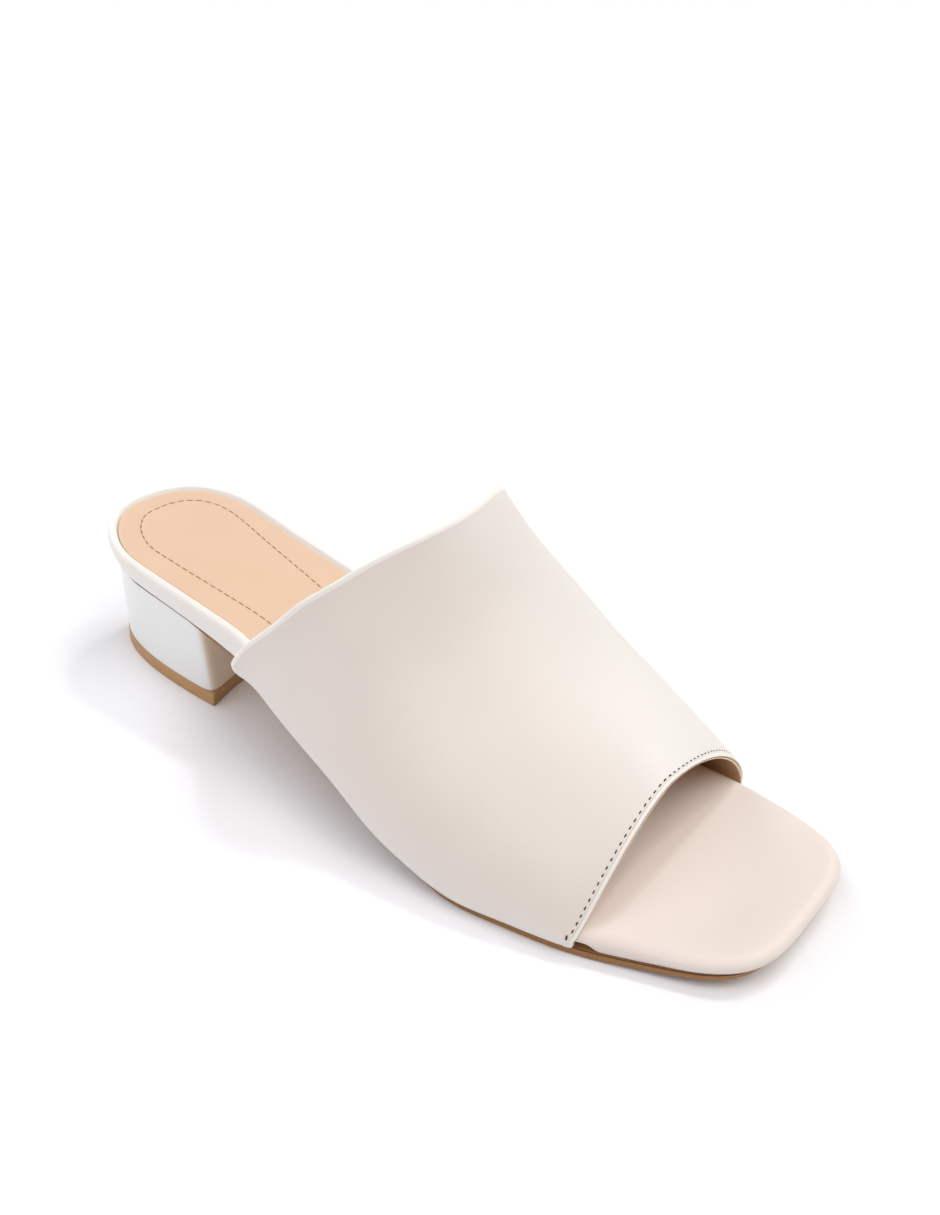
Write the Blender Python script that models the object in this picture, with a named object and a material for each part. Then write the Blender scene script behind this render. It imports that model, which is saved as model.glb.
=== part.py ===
"""Square-toe block-heel slide sandal, right shoe, standing on the floor.

Every size in the tables is in millimetres. Stations run from the heel's back edge (0) towards the
toe, distances across are positive towards the inner (medial) side, and heights are above the floor.
The finished object is in metres with the toe towards +X, the inner side towards +Y and up +Z, and
its origin under the middle of its box, on the floor.
"""
import math
from collections import namedtuple

import bmesh
import bpy
from mathutils import Vector

MM = 0.001

# ---------------------------------------------------------------- driving dimensions, millimetres
SHOE_LENGTH = 251.0        # footbed, heel back to toe
GAP = 0.3                  # clearance between pieces that touch
WALL = 1.5                 # upper: outer leather, lining and the glue between them
WALL_GAP = 0.4             # upper to the footbed's side
LASTING_MARGIN = 8.0       # width of the footbed's rebate for the turned-under upper
MARGIN_THICKNESS = 1.2     # the turned-under edge, skived
OUTSOLE_THICKNESS = 2.2
OUTSOLE_PROUD = 0.3        # beyond the footbed's side
SOCK_THICKNESS = 1.0
SOCK_INSET = 4.1           # from the footbed's side
SOCK_END = 150.0           # station of its front edge, under the band
RIM_ROUND_HEEL = 2.4       # radius of the footbed's top edge at the heel
RIM_ROUND_TOE = 3.4        # and at the toe
RIM_FALL = 1.0             # width over which the rim falls to the seat

HEEL_BREAST = 62.6         # station of the heel's front face at the floor
BREAST_RAKE = 1.0          # how much further forward that face is at its top
HEEL_BACK = 3.2            # station of the heel's back at the floor
HEEL_HALF_WIDTH = 22.5     # at the floor
HEEL_TOP_INSET = 0.9       # under the rim
HEEL_SQUARENESS = 2.6      # superellipse exponent of the heel's plan
BREAST_CORNER = 2.6        # radius of the block's two upright front corners
TOP_PIECE_THICKNESS = 5.0

HEEL_CURVE = 27.0          # stations from the back over which the heel end rounds
HEEL_ROUNDNESS = 2.35      # superellipse exponent of the heel end
TOE_CURVE = 200.5          # station where the toe end starts to round
TOE_CENTRE = 12.0          # the square toe's middle, across
TOE_SQUARE_LATERAL = 3.8   # superellipse exponents of the toe's two corners
TOE_SQUARE_MEDIAL = 3.4

# The last's plan, bottom line and rim, a row for each section. half widths are before the ends
# are rounded, sole is the footbed's underside, rim its side height, seat how far the top inside
# the rim lies below the rim's crest.
Section = namedtuple("Section", "station lateral medial sole rim seat")
SECTIONS = (
    Section(0, 23.1, 28.0, 37.9, 8.6, 2.2),
    Section(28, 25.1, 29.3, 35.2, 8.4, 2.2),
    Section(50, 26.7, 27.3, 33.4, 8.2, 2.2),
    Section(75, 30.1, 25.0, 29.4, 8.1, 2.1),
    Section(100, 34.5, 23.6, 22.8, 7.7, 1.8),
    Section(125, 39.5, 26.9, 15.9, 7.2, 1.0),
    Section(150, 42.9, 36.5, 7.4, 6.6, 0.0),
    Section(172, 43.2, 44.7, 2.5, 6.0, 0.0),
    Section(187, 41.1, 46.5, 2.5, 5.8, 0.0),
    Section(202, 38.0, 47.5, 2.5, 5.6, 0.0),
    Section(230, 30.7, 45.9, 2.8, 5.1, 0.0),
    Section(251, 27.8, 44.4, 6.2, 5.1, 0.0),
)

# The band, a row for each line across it from the topline (0) to the toe opening (1): the stations
# of its two lower ends, then the ridge point, then how square each flank is, and how late the line
# leans forward on its way up.
Line = namedtuple("Line", "part lateral medial ridge across height round_lateral round_medial lean")
BAND = (
    Line(0.00, 81.0, 85.4, 134.7, 16.9, 88.9, 2.3, 1.9, 1.35),
    Line(0.33, 119.7, 118.1, 155.2, 20.5, 66.5, 1.9, 2.55, 0.9),
    Line(0.67, 163.7, 161.9, 177.5, 18.5, 46.5, 2.1, 2.85, 0.7),
    Line(1.00, 206.4, 206.6, 209.0, -0.6, 32.7, 1.6, 1.95, 0.15),
)
BAND_FOOT = 3.0            # height over which the band's wall stands upright
EDGE_CORNER = 0.8          # cut corner where the wall turns under
REBATE = (79.0, 209.0)     # stations between which the footbed is rebated for the band
REBATE_RUN = 1.0           # length of the rebate's ends

# ---------------------------------------------------------------- mesh fineness
BAND_LINES = 25
BAND_POINTS = 33           # across, from lower end to lower end
END_POINTS = 8             # stations in each rounded end
STATION_STEP = 5.0
ROUND_STEPS = 3            # facets in a rounded edge

COLOURS = {
    "ivory_wrap": ((0.80, 0.77, 0.72), 0.42),
    "nude_wrap": ((0.78, 0.69, 0.63), 0.45),
    "peach_sock": ((0.85, 0.60, 0.42), 0.5),
    "tan_rubber": ((0.40, 0.21, 0.08), 0.6),
    "tan_top_piece": ((0.42, 0.23, 0.09), 0.55),
    "ivory_upper": ((0.79, 0.74, 0.69), 0.38),
}


# ---------------------------------------------------------------- shape functions
def read(rows, column, at):
    """Value of a table's column between its rows, on a smooth line that never overshoots them."""
    keys = [row[0] for row in rows]
    values = [getattr(row, column) for row in rows]
    last = len(rows) - 1
    at = min(max(at, keys[0]), keys[last])
    slopes = [(values[i + 1] - values[i]) / (keys[i + 1] - keys[i]) for i in range(last)]

    def tangent(i):
        if i == 0:
            return slopes[0]
        if i == last:
            return slopes[last - 1]
        before, after = slopes[i - 1], slopes[i]
        return 0.0 if before * after <= 0.0 else 2.0 * before * after / (before + after)

    i = max(k for k in range(last) if keys[k] <= at)
    run = keys[i + 1] - keys[i]
    t = (at - keys[i]) / run
    return ((2 * t**3 - 3 * t**2 + 1) * values[i] + (t**3 - 2 * t**2 + t) * run * tangent(i)
            + (3 * t**2 - 2 * t**3) * values[i + 1] + (t**3 - t**2) * run * tangent(i + 1))


def superellipse(along, squareness):
    """Half width, 1 at along 0 and 0 at along 1, of a rounded end."""
    return max(0.0, 1.0 - min(max(along, 0.0), 1.0) ** squareness) ** (1.0 / squareness)


def edge(station, side):
    """Distance across of the footbed's side; side is -1 for lateral and +1 for medial."""
    half = read(SECTIONS, "medial" if side > 0 else "lateral", station)
    half *= superellipse((HEEL_CURVE - station) / HEEL_CURVE, HEEL_ROUNDNESS)
    across = side * half
    if station > TOE_CURVE:
        corner = TOE_SQUARE_MEDIAL if side > 0 else TOE_SQUARE_LATERAL
        into_toe = (station - TOE_CURVE) / (SHOE_LENGTH - TOE_CURVE)
        across = TOE_CENTRE + (across - TOE_CENTRE) * superellipse(into_toe, corner)
    return across


def sole_height(station):
    return read(SECTIONS, "sole", station)


def rim_round(station):
    """Radius of the footbed's top edge, growing from the heel to the toe."""
    into_foot = min(max((station - HEEL_BREAST) / (TOE_CURVE - HEEL_BREAST), 0.0), 1.0)
    return RIM_ROUND_HEEL + (RIM_ROUND_TOE - RIM_ROUND_HEEL) * into_foot


def rebate_depth(station):
    """How much the footbed's underside is cut back to take the band's turned-under edge."""
    start, end = REBATE
    share = min(station - start, end - station) / REBATE_RUN
    return (MARGIN_THICKNESS + GAP) * min(max(share, 0.0), 1.0)


def inward(station, side):
    """Unit vector in plan, square to the footbed's side and pointing into the shoe."""
    run = 0.5
    rise = edge(station + run, side) - edge(station - run, side)
    return Vector((side * rise, -side * 2.0 * run)).normalized()


def stations_between(start, end):
    """Stations of the plan's points: close together in the rounded ends, even in between."""
    fixed = [start, end]
    for at, run in zip(REBATE, (REBATE_RUN, -REBATE_RUN)):
        fixed += [s for s in (at, at + run) if start < s < end]
    others = []
    for k in range(END_POINTS):
        reach = math.cos(math.radians(90.0 * k / END_POINTS)) ** (2.0 / 3.0)
        others.append(HEEL_CURVE * (1.0 - reach))
        others.append(TOE_CURVE + (SHOE_LENGTH - TOE_CURVE) * reach)
    steps = round((TOE_CURVE - HEEL_CURVE) / STATION_STEP)
    others += [HEEL_CURVE + (TOE_CURVE - HEEL_CURVE) * k / steps for k in range(steps + 1)]
    clear = [s for s in others
             if start < s < end and all(abs(s - f) > REBATE_RUN for f in fixed[2:])]
    return sorted(set(fixed + clear))


# ---------------------------------------------------------------- plans and rings
class Plan:
    """A closed outline in plan, as matching lateral and medial points for each station."""

    def __init__(self, lateral, medial):
        self.lateral = [Vector(p) for p in lateral]
        self.medial = [Vector(p) for p in medial]
        self.tips = [(a - b).length < 1e-6 for a, b in zip(lateral, medial)]
        count = len(self.lateral)
        back = [i for i in reversed(range(count)) if not self.tips[i]]
        self.points = self.lateral + [self.medial[i] for i in back]
        place = {i: count + k for k, i in enumerate(back)}
        self.pairs = [(i, i if self.tips[i] else place[i]) for i in range(count)]

    def inset(self, distance):
        """The outline's points moved inwards, by one distance or one for each point."""
        total = len(self.points)
        moved = []
        for i, point in enumerate(self.points):
            before = (point - self.points[i - 1]).normalized()
            after = (self.points[(i + 1) % total] - point).normalized()
            inward = Vector((-before.y - after.y, before.x + after.x)).normalized()
            spread = max(inward.dot(Vector((-before.y, before.x))), 0.5)
            step = distance[i] if isinstance(distance, list) else distance
            moved.append(point + inward * step / spread)
        return moved


def footbed_plan(start=0.0, end=SHOE_LENGTH, clear_of_end=0.0):
    """The footbed's outline; one that is inset later keeps its side points clear of a cut end."""
    stations = [s for s in stations_between(start, end) if s == end or s < end - clear_of_end]
    return Plan([Vector((s, edge(s, -1))) for s in stations],
                [Vector((s, edge(s, 1))) for s in stations])


def heel_plan_at_floor(rounded_corner):
    """The heel's D-shaped plan at the floor, from its back to its breast."""
    length = HEEL_BREAST - HEEL_BACK
    steps = END_POINTS + 6
    stations = [HEEL_BREAST - length * math.cos(math.radians(90.0 * k / steps)) ** (2.0 / 3.0)
                for k in range(steps)]
    if rounded_corner:
        stations += [HEEL_BREAST - BREAST_CORNER * (1.0 - math.sin(math.radians(30.0 * k)))
                     for k in range(0, 4)]
    else:
        stations += [HEEL_BREAST]
    lateral, medial = [], []
    for station in stations:
        half = HEEL_HALF_WIDTH * superellipse((HEEL_BREAST - station) / length, HEEL_SQUARENESS)
        half -= corner_cut(HEEL_BREAST - station) if rounded_corner else 0.0
        lateral.append(Vector((station, -half)))
        medial.append(Vector((station, half)))
    return Plan(lateral, medial)


def corner_cut(from_breast):
    """How much the rounded breast corner takes off the half width."""
    if from_breast >= BREAST_CORNER:
        return 0.0
    rise = BREAST_CORNER - from_breast
    return BREAST_CORNER - math.sqrt(max(BREAST_CORNER**2 - rise**2, 0.0))


def heel_plan_under_rim(floor_plan):
    """The block's plan at its top: the rim's outline drawn in, with as many points as below."""
    top_breast = HEEL_BREAST + BREAST_RAKE
    length = HEEL_BREAST - HEEL_BACK
    lateral, medial = [], []
    for point in floor_plan.lateral:
        share = (HEEL_BREAST - point.x) / length
        station = top_breast - share * (top_breast - HEEL_TOP_INSET)
        cut = corner_cut(HEEL_BREAST - point.x)
        from_back = max(station - HEEL_TOP_INSET, 0.0)
        for side, points in ((-1, lateral), (1, medial)):
            across = edge(from_back, side) if share < 1.0 else 0.0
            points.append(Vector((station, across - side * min(HEEL_TOP_INSET + cut, abs(across)))))
    return Plan(lateral, medial)


# ---------------------------------------------------------------- mesh helpers
def ring(mesh, plan_points, height):
    """A ring of vertices; height is a number, or a function that gives it at each station."""
    return [mesh.verts.new(Vector((p.x, p.y, height(p.x) if callable(height) else height)) * MM)
            for p in plan_points]


def bridge(mesh, lower, upper):
    """Quads between two rings of the same count, facing out when upper is above lower."""
    count = len(lower)
    for i in range(count):
        j = (i + 1) % count
        mesh.faces.new((lower[i], lower[j], upper[j], upper[i]))


def cap(mesh, plan, verts, facing_up):
    """Close a ring with strips from its lateral to its medial points."""
    for (a, b), (c, d) in zip(plan.pairs, plan.pairs[1:]):
        corners = [verts[k] for k in dict.fromkeys((a, c, d, b))]
        mesh.faces.new(corners if facing_up else corners[::-1])


def finish(mesh, name, material, origin, parent):
    """Turn a bmesh drawn in the shoe's own frame into an object with its origin at a real place."""
    bmesh.ops.remove_doubles(mesh, verts=mesh.verts, dist=1e-6)
    bmesh.ops.dissolve_degenerate(mesh, edges=mesh.edges, dist=1e-6)
    place = Vector(origin) * MM
    bmesh.ops.translate(mesh, verts=mesh.verts, vec=-place)
    data = bpy.data.meshes.new(name)
    mesh.to_mesh(data)
    mesh.free()
    data.materials.append(material)
    data.shade_smooth()
    data.set_sharp_from_angle(angle=math.radians(40.0))
    piece = bpy.data.objects.new(name, data)
    bpy.context.scene.collection.objects.link(piece)
    piece.parent = parent
    piece.location = place
    return piece


def make_material(name):
    colour, roughness = COLOURS[name]
    material = bpy.data.materials.new(name)
    material.use_nodes = True
    shader = material.node_tree.nodes["Principled BSDF"]
    shader.inputs["Base Color"].default_value = (*colour, 1.0)
    shader.inputs["Roughness"].default_value = roughness
    shader.inputs["Metallic"].default_value = 0.0
    return material


# ---------------------------------------------------------------- the pieces
def outsole_top(station):
    return sole_height(station) - GAP


def outsole_bottom(station):
    return outsole_top(station) - OUTSOLE_THICKNESS


def footbed_seat(station):
    """Top of the footbed inside its rim."""
    return (sole_height(station) + read(SECTIONS, "rim", station)
            - read(SECTIONS, "seat", station))


def sock_bottom(station):
    return footbed_seat(station) + GAP


def sock_top(station):
    return sock_bottom(station) + SOCK_THICKNESS


def make_slab(name, plan, outline, bottom, top, material, origin, parent):
    """A sheet of one outline between two heights."""
    mesh = bmesh.new()
    lower = ring(mesh, outline, bottom)
    upper = ring(mesh, outline, top)
    bridge(mesh, lower, upper)
    cap(mesh, plan, lower, facing_up=False)
    cap(mesh, plan, upper, facing_up=True)
    return finish(mesh, name, make_material(material), origin, parent)


def make_outsole(parent):
    """Thin rubber sheet from the heel's breast to the toe; its forefoot is flat on the floor."""
    plan = footbed_plan(HEEL_BREAST + BREAST_RAKE + GAP + OUTSOLE_PROUD)
    return make_slab("outsole", plan, plan.inset(-OUTSOLE_PROUD), outsole_bottom, outsole_top,
                     "tan_rubber", (187.0, 0.0, 0.0), parent)


def make_footbed(parent):
    """Covered insole board: rebated underside, upright side, rounded rim and a seat inside it."""
    plan = footbed_plan()
    radius = [rim_round(p.x) for p in plan.points]
    rebate = [rebate_depth(p.x) for p in plan.points]
    mesh = bmesh.new()
    rings = [ring(mesh, plan.inset(LASTING_MARGIN), sole_height) for _ in range(2)]
    rings.append(ring(mesh, plan.points, sole_height))
    for lifted in rings[1:]:
        for vert, depth in zip(lifted, rebate):
            vert.co.z += depth * MM
    for step in range(ROUND_STEPS + 1):
        turn = math.radians(90.0 * step / ROUND_STEPS)

        def round_height(station, below=1.0 - math.sin(turn)):
            crest = sole_height(station) + read(SECTIONS, "rim", station)
            return crest - rim_round(station) * below

        outline = plan.inset([r * (1.0 - math.cos(turn)) for r in radius])
        rings.append(ring(mesh, outline, round_height))
    rings.append(ring(mesh, plan.inset([r + RIM_FALL for r in radius]), footbed_seat))
    for lower, upper in zip(rings, rings[1:]):
        bridge(mesh, lower, upper)
    cap(mesh, plan, rings[0], facing_up=False)
    cap(mesh, plan, rings[-1], facing_up=True)
    return finish(mesh, "footbed", make_material("ivory_wrap"), (0.0, 0.0, sole_height(0)), parent)


def make_insole_sock(parent):
    """Soft sock glued on the seat inside the rim, its front edge hidden under the band."""
    plan = footbed_plan(0.0, SOCK_END, clear_of_end=SOCK_INSET + 1.0)
    origin = (SOCK_INSET, 0.0, sole_height(SOCK_INSET))
    return make_slab("insole_sock", plan, plan.inset(SOCK_INSET), sock_bottom, sock_top,
                     "peach_sock", origin, parent)


def make_heel_block(parent):
    """Covered block between the top piece and the footbed, D-shaped, with round front corners."""
    floor_plan = heel_plan_at_floor(rounded_corner=True)
    top_plan = heel_plan_under_rim(floor_plan)
    base = TOP_PIECE_THICKNESS + GAP
    mesh = bmesh.new()
    lower = ring(mesh, floor_plan.points, base)
    upper = ring(mesh, top_plan.points, outsole_top)
    bridge(mesh, lower, upper)
    cap(mesh, floor_plan, lower, facing_up=False)
    cap(mesh, top_plan, upper, facing_up=True)
    origin = (HEEL_BREAST / 2.0, 0.0, sole_height(HEEL_BREAST / 2.0))
    return finish(mesh, "heel_block", make_material("ivory_wrap"), origin, parent)


def make_heel_top_piece(parent):
    """Rubber top piece, flat on the floor, with sharp front corners."""
    plan = heel_plan_at_floor(rounded_corner=False)
    return make_slab("heel_top_piece", plan, plan.points, 0.0, TOP_PIECE_THICKNESS,
                     "tan_top_piece", (HEEL_BREAST / 2.0, 0.0, 0.0), parent)


def band_point(part, turn):
    """A point of the band's outer face: part runs topline to toe opening, turn 0 to pi across."""
    side = -1 if math.cos(turn) > 0.0 else 1
    foot = read(BAND, "medial" if side > 0 else "lateral", part)
    squareness = read(BAND, "round_medial" if side > 0 else "round_lateral", part)
    rise = max(math.sin(turn), 0.0) ** (2.0 / squareness)
    width = abs(math.cos(turn)) ** (2.0 / squareness)
    station = foot + (read(BAND, "ridge", part) - foot) * rise ** read(BAND, "lean", part)
    ridge_across = read(BAND, "across", part)
    side_across = edge(station, side) + side * (WALL + WALL_GAP)
    across = ridge_across + (side_across - ridge_across) * width
    base = sole_height(station) + BAND_FOOT
    return Vector((station, across, base + (read(BAND, "height", part) - base) * rise))


def band_normal(part, turn):
    """Unit normal of the outer face, by small steps along and across it."""
    step = 0.004
    low, high = max(part - step, 0.0), min(part + step, 1.0)
    left, right = max(turn - step, 0.02), min(turn + step, math.pi - 0.02)
    along = band_point(high, turn) - band_point(low, turn)
    over = band_point(part, right) - band_point(part, left)
    return over.cross(along).normalized() * -1.0


def band_profile(part):
    """Outer and inner points of one line across the band, with its turned-under edges."""
    outer, inner = [], []
    for k in range(BAND_POINTS):
        turn = math.pi * k / (BAND_POINTS - 1)
        point = band_point(part, turn)
        outer.append(point)
        if k in (0, BAND_POINTS - 1):
            side = -1 if k == 0 else 1
            inner.append(Vector((point.x, point.y - side * WALL, point.z)))
        else:
            inner.append(point - band_normal(part, turn) * WALL)
    for side, at_start in ((-1, True), (1, False)):
        wall_foot = (outer[0], inner[0]) if at_start else (outer[-1], inner[-1])
        turned = turned_under(wall_foot, side)
        if at_start:
            outer, inner = turned[0][::-1] + outer, turned[1][::-1] + inner
        else:
            outer, inner = outer + turned[0], inner + turned[1]
    return outer, inner


def turned_under(wall_foot, side):
    """The band's lower edge from its upright foot round under the footbed, outer and inner."""
    station = wall_foot[0].x
    into = inward(station, side) * (LASTING_MARGIN - WALL_GAP)
    end = Vector((station, edge(station, side))) + into
    faces = []
    for foot, lift, corner in ((wall_foot[0], 0.0, EDGE_CORNER), (wall_foot[1], MARGIN_THICKNESS, 0.4)):
        faces.append([
            Vector((foot.x, foot.y, sole_height(foot.x) + lift + corner)),
            Vector((foot.x, foot.y - side * corner, sole_height(foot.x) + lift)),
            Vector((end.x, end.y, sole_height(end.x) + lift)),
        ])
    return faces


def make_upper(parent):
    """The vamp band: one hollow wall over the instep, open behind, in front and underneath."""
    mesh = bmesh.new()
    loops = []
    for k in range(BAND_LINES):
        outer, inner = band_profile(k / (BAND_LINES - 1))
        loops.append([mesh.verts.new(p * MM) for p in outer + inner[::-1]])
    for nearer_heel, nearer_toe in zip(loops, loops[1:]):
        bridge(mesh, nearer_toe, nearer_heel)
    across = len(loops[0]) // 2
    for loop, opening in ((loops[0], True), (loops[-1], False)):
        for i in range(across - 1):
            corners = (loop[i], loop[i + 1], loop[-2 - i], loop[-1 - i])
            mesh.faces.new(corners if opening else corners[::-1])
    ridge = band_point(0.5, math.pi / 2.0)
    return finish(mesh, "upper", make_material("ivory_upper"), ridge, parent)


def stand_over_origin(holder):
    """Move the whole shoe so that the middle of its box stands over the origin, on the floor."""
    bpy.context.view_layer.update()
    corners = [piece.matrix_world @ v.co for piece in holder.children for v in piece.data.vertices]
    low = Vector([min(c[axis] for c in corners) for axis in range(3)])
    high = Vector([max(c[axis] for c in corners) for axis in range(3)])
    holder.location -= Vector(((low.x + high.x) / 2.0, (low.y + high.y) / 2.0, low.z))


def main():
    for thing in list(bpy.data.objects):
        bpy.data.objects.remove(thing, do_unlink=True)
    holder = bpy.data.objects.new("sandal_right", None)
    bpy.context.scene.collection.objects.link(holder)
    make_outsole(holder)
    make_footbed(holder)
    make_insole_sock(holder)
    make_heel_block(holder)
    make_heel_top_piece(holder)
    make_upper(holder)
    stand_over_origin(holder)


main()
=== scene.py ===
import math

import bmesh
import bpy
import numpy as np
from mathutils import Matrix, Vector


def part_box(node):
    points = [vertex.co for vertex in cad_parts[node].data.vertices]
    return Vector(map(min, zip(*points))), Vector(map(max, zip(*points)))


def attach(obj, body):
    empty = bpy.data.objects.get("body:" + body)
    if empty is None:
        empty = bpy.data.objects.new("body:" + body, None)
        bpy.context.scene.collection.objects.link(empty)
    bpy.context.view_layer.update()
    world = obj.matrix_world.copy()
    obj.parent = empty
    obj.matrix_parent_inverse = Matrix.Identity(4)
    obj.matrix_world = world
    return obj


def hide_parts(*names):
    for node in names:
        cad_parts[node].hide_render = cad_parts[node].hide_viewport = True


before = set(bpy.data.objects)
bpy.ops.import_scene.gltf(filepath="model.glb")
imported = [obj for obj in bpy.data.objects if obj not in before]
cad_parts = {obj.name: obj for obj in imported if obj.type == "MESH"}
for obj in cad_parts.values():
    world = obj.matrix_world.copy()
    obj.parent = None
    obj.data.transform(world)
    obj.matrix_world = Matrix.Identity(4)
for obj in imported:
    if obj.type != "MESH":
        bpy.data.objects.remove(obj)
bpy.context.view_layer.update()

print("frame loaded:", ", ".join(sorted(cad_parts)))

mm = 0.001

# The shoe is drawn in its own millimetres: station from the heel's back towards the toe, across
# (inner side positive) and height. The frame gives where that grid lies in the row.
heelLow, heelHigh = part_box("heel_top_piece")
shoeOrigin = np.array((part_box("footbed")[0].x, (heelLow.y + heelHigh.y) / 2, 0.0))


def toRow(points):
    return np.asarray(points, float) * mm + shoeOrigin


# the last: plan, bottom line and rim, a row for each section from heel to toe
last = {
    "columns": ("station", "lateral", "medial", "sole", "top", "seat", "tuck"),
    "rows": (
        (0, 23.3, 29.5, 38.4, 45.6, 1.5, 2.6),
        (28, 27.4, 29.2, 35.1, 42.0, 1.5, 0.8),
        (50, 27.9, 27.3, 32.7, 39.7, 1.5, 0.3),
        (75, 28.7, 25.5, 28.7, 37.4, 1.5, 0.3),
        (88, 31.8, 24.3, 25.6, 35.9, 1.5, 0.3),
        (100, 34.8, 23.6, 22.2, 32.4, 1.4, 0.3),
        (125, 39.8, 26.7, 16.0, 23.6, 0.9, 0.3),
        (150, 43.7, 36.6, 7.7, 14.5, 0.0, 0.3),
        (172, 43.5, 44.8, 2.5, 8.7, 0.0, 0.3),
        (187, 41.0, 46.4, 2.5, 8.4, 0.0, 0.3),
        (202, 38.1, 48.0, 2.5, 8.2, 0.0, 0.3),
        (230, 29.4, 46.8, 3.8, 7.9, 0.0, 0.3),
        (251, 26.5, 45.0, 6.5, 10.5, 0.0, 0.3),
    ),
    "soft": 4.0,             # mm over which one section eases into the next
    "length": 251.0,
    "heelCurve": 29.6,       # how far the heel end's rounding reaches
    "heelRoundness": 2.31,   # its superellipse exponent
    "toeCurve": 195.5,       # station where the toe end starts to round
    "toeCentre": 8.7,        # the square toe's middle
    "toeSquareLateral": 4.06,    # superellipse exponents of its corners
    "toeSquareMedial": 4.02,
}

# the band: a row for each line across it, topline (0) to toe opening (1)
band = {
    # round and crown bend the arch in height and in width, lean carries it forward to its ridge
    "columns": ("part", "lateral", "medial", "ridge", "across", "height", "roundLateral",
                "roundMedial", "crownLateral", "crownMedial", "lean"),
    "rows": (
        (0.00, 81.35, 84.8, 134.7, 20.2, 88.55, 2.33, 1.76, 2.33, 1.66, 1.43),
        (0.33, 119.7, 118.3, 154.6, 22.4, 66.1, 1.71, 3.54, 1.71, 2.5, 0.88),
        (0.67, 163.7, 161.7, 178.4, 15.4, 47.3, 1.83, 2.76, 1.83, 3.1, 0.72),
        (1.00, 206.83, 209.21, 209.83, -2.26, 37.5, 1.12, 1.42, 1.7, 1.7, 0.5),
    ),
    "soft": 0.045,           # parts of the run over which one line eases into the next
    "foot": 3.0,             # height over which the wall stands upright
    "standLateral": 1.2,     # outer face to the footbed's side
    "standMedial": 1.7,
    "flare": 3.2,            # the outer rear corner stands further off
    "flareAt": 80.0,         # round this station
    "flareReach": 5.9,
    "tip": 2.1,              # and runs out into a soft tip
    "tipHeight": 0.155,      # parts of the band's height
    "tipPart": 0.05,         # parts of its run from topline to toe opening
    "spread": 1.6,           # the inner side stands further off at the toe opening
    "spreadAt": 209.0,
    "spreadReach": 14.0,
    # waves of the topline: turn over the foot from the outer side in degrees, mm higher or lower
    "topline": ((0, 0.0), (14, -0.45), (20, -0.65), (26, -0.1), (33, 0.95), (40, 0.4), (48, 0.6),
                (56, 0.6), (66, -0.55), (77, -1.1), (84, -0.25), (89, 1.5), (93, 1.3), (100, 0.6),
                (112, 0.0), (180, 0.0)),
    "toplineReach": 0.06,    # parts of the run over which they fade
    "wall": 1.55,            # leather and lining together
    "footThinning": 0.9,     # parts of the wall left at its foot
    "hemThinning": 0.75,     # and in the turned-under edge, which is skived
    "hem": 1.3,              # radius where the wall turns under
    "turnedUnder": 7.6,      # how far it runs in under the footbed
    "rearCorner": 3.3,       # radius of the lower corner behind
    "frontCorner": 1.3,
    "cornerSlant": 0.35,     # mm the turned-under edge draws back for each mm it runs in
    "rearFold": 3.4,         # width of the folded edge along the topline
    "stitchLine": 2.1,       # stitch row to the front edge
    "stitchHollow": 1.6,     # the row lies in a hollow that starts this far behind it
    "stitchFoot": 1.8,       # the row ends this high above the sole
    "paintedSheenFrom": 48.0,       # painted sheen: the coating is drawn paler and cooler over the inner side, between these turns, for grazing light
    "paintedSheenTo": 98.0,
    "paintedSheenFoot": 16.0,       # and half as much painted sheen below this turn, along the outer foot
    "lines": 150,            # the face's grid
    "points": 240,
    "eased": 3,              # grid points over which its curves are smoothed
    "toplineEased": 4,
}

softCurves = {}


def read(table, name, at):   # a table's column at any place, on a curve with no kinks at its rows
    key = (id(table), name)
    if key not in softCurves:
        rows = np.array(table["rows"], float)
        keys = rows[:, 0]
        values = rows[:, table["columns"].index(name)]
        slopes = np.diff(values) / np.diff(keys)
        same = slopes[:-1] * slopes[1:] > 0
        total = np.where(same, slopes[:-1] + slopes[1:], 1.0)
        inner = np.where(same, 2 * slopes[:-1] * slopes[1:] / total, 0.0)
        tangents = np.concatenate((slopes[:1], inner, slopes[-1:]))
        margin = 4 * table["soft"]
        dense = np.linspace(keys[0] - margin, keys[-1] + margin, 3001)
        i = np.clip(np.searchsorted(keys, dense, side="right") - 1, 0, len(keys) - 2)
        run = keys[i + 1] - keys[i]
        t = np.clip((dense - keys[i]) / run, 0.0, 1.0)
        curve = ((2 * t**3 - 3 * t**2 + 1) * values[i] + (t**3 - 2 * t**2 + t) * run * tangents[i]
                 + (3 * t**2 - 2 * t**3) * values[i + 1] + (t**3 - t**2) * run * tangents[i + 1])
        curve += np.minimum(dense - keys[0], 0) * slopes[0]
        curve += np.maximum(dense - keys[-1], 0) * slopes[-1]
        step = dense[1] - dense[0]
        reach = np.arange(-margin, margin + step, step)
        weight = np.exp(-0.5 * (reach / table["soft"]) ** 2)
        eased = np.convolve(curve, weight / weight.sum(), mode="same")
        inside = (dense >= keys[0]) & (dense <= keys[-1])
        softCurves[key] = (dense[inside], eased[inside])
    return np.interp(at, *softCurves[key])


def ease(share):                # from 0 to 1 with a soft start and a soft finish
    share = np.clip(share, 0, 1)
    return share * share * (3 - 2 * share)


def superellipse(along, squareness):
    return np.maximum(1 - np.clip(along, 0, 1) ** squareness, 0) ** (1 / squareness)


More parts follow.
